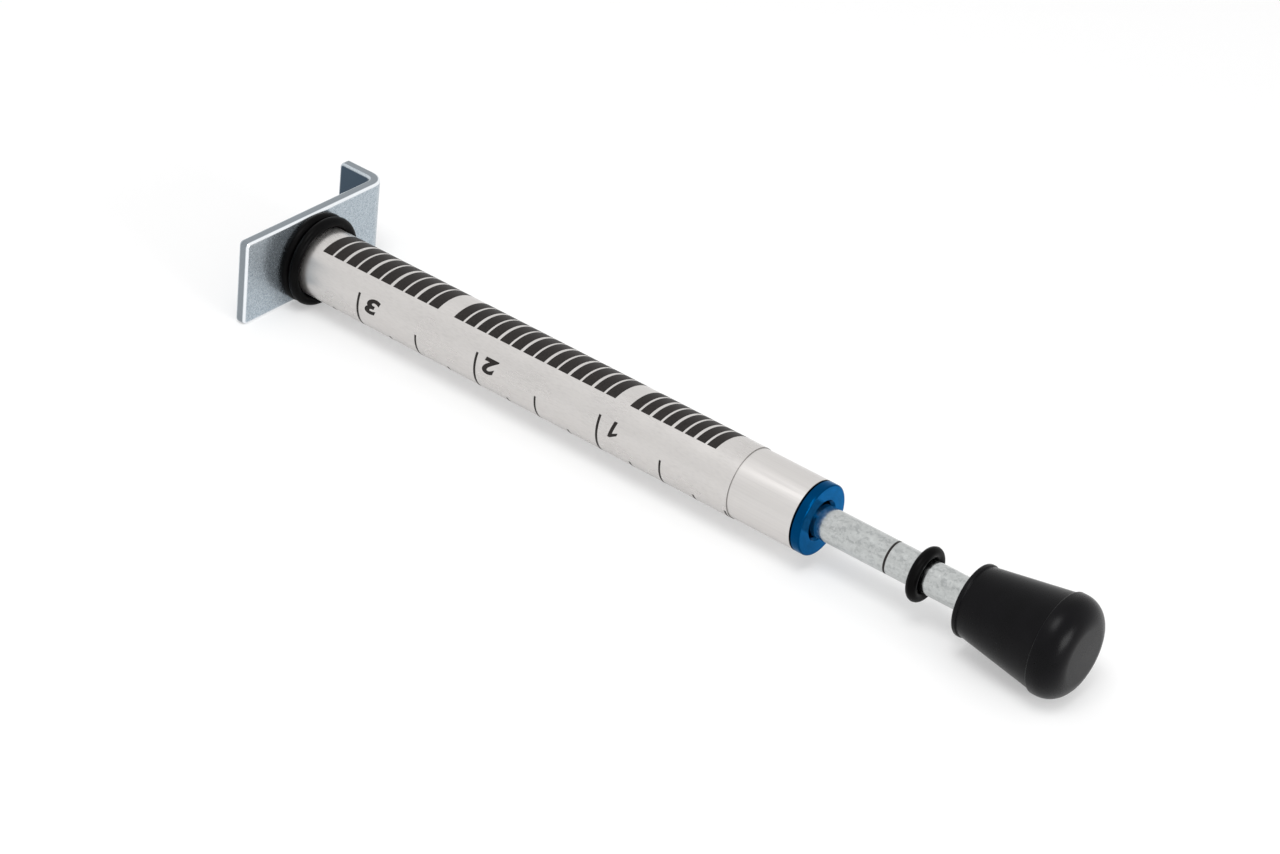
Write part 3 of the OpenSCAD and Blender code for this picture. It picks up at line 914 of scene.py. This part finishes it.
def socket_screw(sizes):
    """Countersunk screw with a hexagon socket."""
    top, end = SCREW_LOW.x, SCREW_HIGH.x
    head, edge = (SCREW_HIGH.z - SCREW_LOW.z) / 2, sizes.head_edge
    radius, pitch, lead = sizes.thread_radius, sizes.thread_pitch, sizes.screw_lead
    outline = [(top, 0.0), (top, head - edge), (top + edge, head), (top + sizes.head_height, radius)]
    start = top + sizes.head_height + pitch
    turns = int((end - lead - start) / pitch)
    for i in range(turns):
        x = start + i * pitch
        outline += [(x, radius), (x + pitch / 2, radius - sizes.thread_depth)]
    outline += [(start + turns * pitch, radius), (end - lead, radius), (end, radius - lead), (end, 0.0)]
    body = turned_mesh("socket_screw", outline, steps=SMALL_TURN_STEPS)
    bm = bmesh.new()
    across = sizes.socket_across / math.cos(math.radians(30))
    place_it = Matrix.Translation((top, AXIS_Y, AXIS_Z)) @ Matrix.Rotation(math.pi / 2, 4, "Y")
    bmesh.ops.create_cone(bm, cap_ends=True, segments=6, radius1=across / 2, radius2=across / 2,
                          depth=2 * sizes.head_height, matrix=place_it)
    return cut_from("socket_screw", body, closed_mesh("hexagon", bm))


def digit_one(sizes):
    """The digit 1, which has no curves, drawn flat in shares of its height."""
    tall = sizes.digit_height
    stroke, flag = tall * 0.22, tall * 0.32
    corners = [(0.0, 0.0), (stroke, 0.0), (stroke, tall), (stroke * 0.25, tall), (-flag, tall * 0.74),
               (-flag, tall * 0.56), (0.0, tall * 0.72)]
    bm = bmesh.new()
    bm.faces.new([bm.verts.new((u + v * sizes.digit_lean, v, 0.0)) for u, v in corners])
    return bm


def digit_curved(text, sizes):
    """A digit with curves, from the plain built-in letters, drawn flat."""
    curve = bpy.data.curves.new("digit_" + text, "FONT")
    curve.body = text
    curve.shear = sizes.digit_lean
    curve.offset = sizes.digit_weight
    curve.resolution_u = 6
    host = bpy.data.objects.new(curve.name, curve)
    bpy.context.scene.collection.objects.link(host)
    mesh = evaluated(host)
    bm = bmesh.new()
    bm.from_mesh(mesh)
    bpy.data.meshes.remove(mesh)
    bmesh.ops.remove_doubles(bm, verts=bm.verts, dist=MERGE)
    wide = max(v.co.x for v in bm.verts) - min(v.co.x for v in bm.verts)
    tall = max(v.co.y for v in bm.verts) - min(v.co.y for v in bm.verts)
    bm.transform(Matrix.Diagonal((sizes.digit_width / wide, sizes.digit_height / tall, 1.0, 1.0)))
    return bm


def digit_mesh(text, line_x, sizes):
    """One digit of the scale, laid round the barrel beside its line."""
    bm = digit_one(sizes) if text == "1" else digit_curved(text, sizes)
    middle = (max(v.co.x for v in bm.verts) + min(v.co.x for v in bm.verts)) / 2
    low = min(v.co.y for v in bm.verts)
    for i in range(1, DIGIT_STEPS):
        bmesh.ops.bisect_plane(bm, geom=[*bm.verts, *bm.edges, *bm.faces], dist=TINY,
                               plane_co=(0, low + sizes.digit_height * i / DIGIT_STEPS, 0),
                               plane_no=(0, 1, 0))
    raised = bmesh.ops.extrude_face_region(bm, geom=list(bm.faces))
    for v in raised["geom"]:
        if isinstance(v, bmesh.types.BMVert):
            v.co.z = sizes.ink
    twist_x = TUBE_LOW.x + sizes.twist_middle
    for v in bm.verts:
        x = line_x + sizes.digit_gap + middle - v.co.x
        turn = sizes.digit_base + (v.co.y - low) / LABEL_R + (x - twist_x) * sizes.twist
        radius = LABEL_R - sizes.ink / 2 + v.co.z
        v.co = Vector((x, AXIS_Y + radius * math.cos(turn), AXIS_Z + radius * math.sin(turn)))
    return closed_mesh("digit_" + text, bm)


def tip_outline(sizes):
    """Outline of the rubber tip from the rod's bore, round the outside and back to the washer's pocket."""
    start, end = TIP_LOW.x, TIP_HIGH.x
    bore = ROD_R + sizes.fit
    rim, step = sizes.tip_rim, sizes.rim_step
    bead_end = start + sizes.rim_width
    shoulder = end - sizes.shoulder
    lip_start = shoulder - sizes.lip_width
    lip = sizes.lip_step
    root = sizes.tip_root
    crown = TIP_R - sizes.shoulder
    pocket = (TIP_WASHER_HIGH.z - TIP_WASHER_LOW.z) / 2 + sizes.fit
    outline = [(start, bore), (start, bore + root)]
    outline += arc((start + sizes.rim_round, rim - sizes.rim_round), sizes.rim_round, -90, 0)
    outline += arc((bead_end - root, rim - root), root, 0, 90, SMALL_ARC_STEPS)
    outline += arc((bead_end + root, rim - step + sizes.root_lift), root, math.degrees(sizes.root_start), 180,
                   ROOT_STEPS)
    outline += [(lip_start, TIP_R - lip)]
    outline += arc((lip_start + lip, TIP_R - lip), lip, -80, 0)
    outline += arc((shoulder, crown), sizes.shoulder, 0, 90, SHOULDER_STEPS)
    outline += [(end, 0.0), (TIP_WASHER_HIGH.x + sizes.fit, 0.0), (TIP_WASHER_HIGH.x + sizes.fit, pocket),
                (TIP_WASHER_LOW.x - sizes.fit, pocket), (TIP_WASHER_LOW.x - sizes.fit, bore)]
    return outline


class TESTER_OT_bracket(Operator):
    """Make the bent bracket and its screw"""

    bl_idname = "tester.bracket"
    bl_label = "Bracket"

    def execute(self, context):
        """Builds the pieces at the belt's end."""
        sizes, colours = context.scene.tester_bracket, context.scene.tester_colours
        piece(bent_plate(sizes), zinc_finish(colours), "barrel", ["belt_bracket"])
        steel = steel_finish("screw_steel", colours.steel)
        piece(socket_screw(sizes), steel, "barrel", ["bracket_screw"])
        return {"FINISHED"}


class TESTER_OT_barrel(Operator):
    """Make the tube, its plug, its label film and the blue cap"""

    bl_idname = "tester.barrel"
    bl_label = "Barrel"

    def execute(self, context):
        """Builds the fixed turned pieces."""
        sizes, colours = context.scene.tester_barrel, context.scene.tester_colours
        aluminium = aluminium_finish(colours, sizes.joint_shade_line)
        bore = BARREL_R - sizes.wall
        edge = sizes.edge_break
        x0, x1 = TUBE_LOW.x, TUBE_HIGH.x
        tube = turned_mesh("drawn_tube", [(x0, bore + edge), (x0, BARREL_R - edge), (x0 + edge, BARREL_R),
                                          (x1 - edge, BARREL_R), (x1, BARREL_R - edge), (x1, bore + edge),
                                          (x1 - edge, bore), (x0 + edge, bore)])
        piece(tube, aluminium, "barrel", ["barrel_tube"])
        dressed("end_plug", aluminium)
        inner = LABEL_R - sizes.film
        soft = sizes.film_soft
        half_seam = sizes.seam / LABEL_R / 2
        label = turned_mesh("label_film", [(LABEL_LOW.x, inner), (LABEL_LOW.x, LABEL_R - soft),
                                           (LABEL_LOW.x + soft, LABEL_R), (LABEL_HIGH.x - soft, LABEL_R),
                                           (LABEL_HIGH.x, LABEL_R - soft), (LABEL_HIGH.x, inner)],
                            sizes.seam_angle + half_seam, FULL_TURN - 2 * half_seam)
        piece(label, film_finish(colours, sizes.film_edge), "barrel", ["scale_label"])
        rod_hole = ROD_R + sizes.rod_clearance
        face, joint, tail = CAP_HIGH.x, TUBE_HIGH.x, CAP_LOW.x
        lead, back = sizes.cap_lead, sizes.cap_back_edge
        groove, seat = sizes.cap_relief, BARREL_R - sizes.cap_seat
        outline = [(tail, rod_hole), (tail, bore - lead), (tail + lead, bore), (joint, bore), (joint, seat),
                   (joint + groove, seat), (joint + groove, BARREL_R - back),
                   (joint + groove + back, BARREL_R)]
        outline += arc((face - sizes.cap_edge, BARREL_R - sizes.cap_edge), sizes.cap_edge, 0, 90)
        gap, floor = rod_hole + sizes.cap_gap, face - sizes.cap_gap_depth
        sink = rod_hole + sizes.cap_sink
        outline += [(face, sink), (face - edge, sink - edge), (face - sizes.cap_sink + sizes.cap_gap, gap),
                    (floor, gap), (floor, rod_hole)]
        # The mask marks the cap's side for its painted shade
        cap = masked(turned_mesh("turned_cap", outline), "side", tail, face - sizes.cap_side_inset)
        piece(cap, anodise_finish(colours), "barrel", ["end_cap"])
        return {"FINISHED"}


class TESTER_OT_scale(Operator):
    """Print the inch scale on the label"""

    bl_idname = "tester.scale"
    bl_label = "Scale"

    def execute(self, context):
        """Lays lines, digits and blocks of ink round the barrel."""
        sizes, colours = context.scene.tester_print, context.scene.tester_colours
        ink = ink_finish(colours)
        tree = marks_tree()
        zero = LABEL_HIGH.x - sizes.zero_inset
        inch = sizes.inch
        thick, thin, base = sizes.whole_width, sizes.part_width, sizes.base
        rows = [
            ("whole_lines", zero - inch, -inch, sizes.whole_count, thick, sizes.whole_top, base, 0.0),
            ("half_lines", zero - inch / 2, -inch, sizes.whole_count, thin, sizes.half_top, base, 0.0),
            ("quarter_lines", zero - inch / 4, -inch / 2, sizes.quarter_count, thin, sizes.quarter_top, base,
             0.0),
            ("zero_line", zero, -inch, 1, thin, sizes.zero_top, base, 0.0),
        ]
        for name, first, pitch, count, width in BAR_GROUPS:
            bar = (width - sizes.block_slot) / 2
            for side in (-1, 1):
                middle = TUBE_LOW.x + first + side * (bar + sizes.block_slot) / 2
                rows.append((name, middle, pitch, count, bar, sizes.block_low, sizes.block_high,
                             sizes.block_lean))
        meshes = [tree.grown(name, First=first, Pitch=pitch, Count=count, Width=width, Low=low, High=high,
                             Surface=LABEL_R, Ink=sizes.ink, Lean=lean, Twist=sizes.twist,
                             Middle=TUBE_LOW.x + sizes.twist_middle, Material=ink)
                  for name, first, pitch, count, width, low, high, lean in rows]
        for i in range(sizes.whole_count):
            meshes.append(digit_mesh(str(i + 1), zero - (i + 1) * inch, sizes))
        piece(joined("printed_scale", meshes), ink, "barrel")
        return {"FINISHED"}


class TESTER_OT_spring(Operator):
    """Wind the spring and finish the pieces on the rod inside the barrel"""

    bl_idname = "tester.spring"
    bl_label = "Spring"

    def execute(self, context):
        """Builds what works inside the barrel."""
        sizes, colours = context.scene.tester_plunger, context.scene.tester_colours
        wire = steel_finish("spring_wire", colours.spring)
        coil = (SPRING_HIGH.y - SPRING_LOW.y) / 2 - sizes.wire / 2
        mesh = spring_tree().grown("wound_spring", Start=SPRING_LOW.x, End=SPRING_HIGH.x, Coil=coil,
                                   Wire=sizes.wire, Turns=sizes.turns, Closed=sizes.closed_pitch,
                                   Material=wire)
        made = piece(smoothed(mesh), wire, "barrel", ["compression_spring"])
        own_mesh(made)
        steel = steel_finish("plain_steel", colours.steel)
        for node in ("retaining_clip", "piston_washer", "tip_washer"):
            dressed(node, steel)
        dressed("piston", nylon_finish(colours))
        return {"FINISHED"}


class TESTER_OT_plunger(Operator):
    """Make the rod, its force line and the rubber tip"""

    bl_idname = "tester.plunger"
    bl_label = "Plunger"

    def execute(self, context):
        """Builds the pieces that the palm pushes."""
        sizes, colours = context.scene.tester_plunger, context.scene.tester_colours
        line = CAP_HIGH.x + sizes.force_stroke
        half = sizes.line_width / 2
        floor = ROD_R - sizes.line_depth
        neck = ROD_R - sizes.clip_depth
        lead = sizes.end_break
        x0, x1 = ROD_LOW.x, ROD_HIGH.x
        g0, g1 = CLIP_LOW.x - sizes.fit, CLIP_HIGH.x + sizes.fit
        outline = [(x0, 0.0), (x0, ROD_R - lead), (x0 + lead, ROD_R), (g0, ROD_R), (g0, neck), (g1, neck),
                   (g1, ROD_R), (line - half, ROD_R), (line - half, floor), (line + half, floor),
                   (line + half, ROD_R), (x1 - lead, ROD_R), (x1, ROD_R - lead), (x1, 0.0)]
        piece(turned_mesh("coated_rod", outline), galvanised_finish(colours), "plunger",
              ["plunger_rod"])
        fill = ROD_R - sizes.fit / 2
        paint = turned_mesh("force_line", [(line - half, floor), (line - half, fill), (line + half, fill),
                                           (line + half, floor)])
        piece(paint, ink_finish(colours), "plunger")
        piece(turned_mesh("moulded_tip", tip_outline(sizes)), tip_finish(colours), "plunger",
              ["rubber_tip"])
        return {"FINISHED"}


class TESTER_OT_rings(Operator):
    """Make the three rubber rings"""

    bl_idname = "tester.rings"
    bl_label = "Rings"

    def execute(self, context):
        """Builds the rings that keep the readings."""
        sizes, colours = context.scene.tester_plunger, context.scene.tester_colours
        rubber = ring_finish(colours)
        tree = ring_tree()
        rings = [("rod_ring", "rod_marker_ring", "rod_ring"),
                 ("barrel_ring_front", "barrel_marker_ring_front", "front_ring"),
                 ("barrel_ring_rear", "barrel_marker_ring_rear", "rear_ring")]
        for name, node, body in rings:
            low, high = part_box(node)
            path = (high.z - low.z) / 2 - sizes.ring_section / 2
            mesh = tree.grown(name, Station=(low.x + high.x) / 2, Path=path, Section=sizes.ring_section,
                              Flash=sizes.ring_flash, Material=rubber)
            piece(smoothed(mesh), rubber, body, [node])
        return {"FINISHED"}


class TESTER_OT_stage(Operator):
    """Set the floor, the light and the camera"""

    bl_idname = "tester.stage"
    bl_label = "Stage"

    def lamp(self, name, where, wide, high, watts, tone, spread=math.pi):
        """A soft lamp that faces the middle of the tester."""
        data = bpy.data.lights.new(name, "AREA")
        data.shape = "RECTANGLE"
        data.size = wide
        data.size_y = high
        data.energy = watts
        data.color = tone
        data.spread = spread
        made = bpy.data.objects.new(name, data)
        made.location = where
        made.rotation_euler = (-Vector(where)).to_track_quat("-Z", "Y").to_euler()
        bpy.context.scene.collection.objects.link(made)

    def execute(self, context):
        """Builds what the tester is shown on."""
        scene = context.scene
        sizes, colours = scene.tester_stage, scene.tester_colours
        bm = bmesh.new()
        bmesh.ops.create_grid(bm, x_segments=1, y_segments=1, size=sizes.floor_side / 2)
        tilt = math.atan2(PLATE_LOW.z - TIP_LOW.z, TIP_HIGH.x - PLATE_LOW.x)
        rest = Vector((TIP_HIGH.x, 0.0, TIP_LOW.z))
        bm.transform(Matrix.Translation(rest) @ Matrix.Rotation(tilt, 4, "Y") @ Matrix.Translation(-rest))
        mesh = bpy.data.meshes.new("pale_floor")
        bm.to_mesh(mesh)
        bm.free()
        mesh.materials.append(floor_finish(colours, sizes.glow))
        shown(mesh)
        self.lamp("key_lamp", sizes.key, sizes.key_size, sizes.key_size, sizes.key_power, colours.light)
        self.lamp("strip_lamp", sizes.strip, sizes.strip_width, sizes.strip_height, sizes.strip_power,
                  colours.light, sizes.spread)
        scene.world = scene.world or bpy.data.worlds.new("studio")
        scene.world.use_nodes = True
        nodes, links = scene.world.node_tree.nodes, scene.world.node_tree.links
        sky = nodes["Background"]
        sky.inputs["Color"].default_value = (*colours.light, 1.0)
        level = nodes.new("ShaderNodeMath")
        level.operation = "ADD"
        links.new(seen(nodes, links, 1.0 - sizes.sky), level.inputs[0])
        level.inputs[1].default_value = sizes.sky
        links.new(level.outputs["Value"], sky.inputs["Strength"])
        scene.view_settings.view_transform = "Standard"
        data = bpy.data.cameras.new("camera")
        data.lens = sizes.lens
        camera = bpy.data.objects.new("camera", data)
        back = -Vector(sizes.aim).normalized()
        right = Vector(sizes.up).cross(back).normalized()
        up = back.cross(right)
        turn = Matrix((right, up, back)).transposed()
        camera.matrix_world = Matrix.Translation(sizes.camera) @ turn.to_4x4()
        scene.collection.objects.link(camera)
        scene.camera = camera
        return {"FINISHED"}


STEPS = [TESTER_OT_stage, TESTER_OT_bracket, TESTER_OT_barrel, TESTER_OT_scale, TESTER_OT_spring,
         TESTER_OT_plunger, TESTER_OT_rings]
SETTINGS = {
    "tester_bracket": BracketSizes,
    "tester_barrel": BarrelSizes,
    "tester_print": PrintSizes,
    "tester_plunger": PlungerSizes,
    "tester_colours": FinishColours,
    "tester_stage": StageSizes,
}


class TESTER_PT_sidebar(Panel):
    """Lists the steps that build the tester, and their sizes"""

    bl_idname = "TESTER_PT_sidebar"
    bl_label = "Belt Tension Tester"
    bl_space_type = "VIEW_3D"
    bl_region_type = "UI"
    bl_category = "Tester"

    def draw(self, context):
        """Draws the buttons and the settings."""
        for step in STEPS:
            self.layout.operator(step.bl_idname)
        for name, group in SETTINGS.items():
            box = self.layout.box()
            box.label(text=group.__doc__)
            for label in group.__annotations__:
                box.prop(getattr(context.scene, name), label)


def register():
    """Registers the classes and the scene's settings."""
    for made in (*SETTINGS.values(), *STEPS, TESTER_PT_sidebar):
        bpy.utils.register_class(made)
    for name, group in SETTINGS.items():
        setattr(bpy.types.Scene, name, PointerProperty(type=group))


def unregister():
    """Takes back what register did."""
    for name in SETTINGS:
        delattr(bpy.types.Scene, name)
    for made in (TESTER_PT_sidebar, *reversed(STEPS), *SETTINGS.values()):
        bpy.utils.unregister_class(made)


def main():
    """Builds the tester."""
    register()
    bpy.ops.tester.stage()
    bpy.ops.tester.bracket()
    bpy.ops.tester.barrel()
    bpy.ops.tester.scale()
    bpy.ops.tester.spring()
    bpy.ops.tester.plunger()
    bpy.ops.tester.rings()


if __name__ == "__main__":
    main()
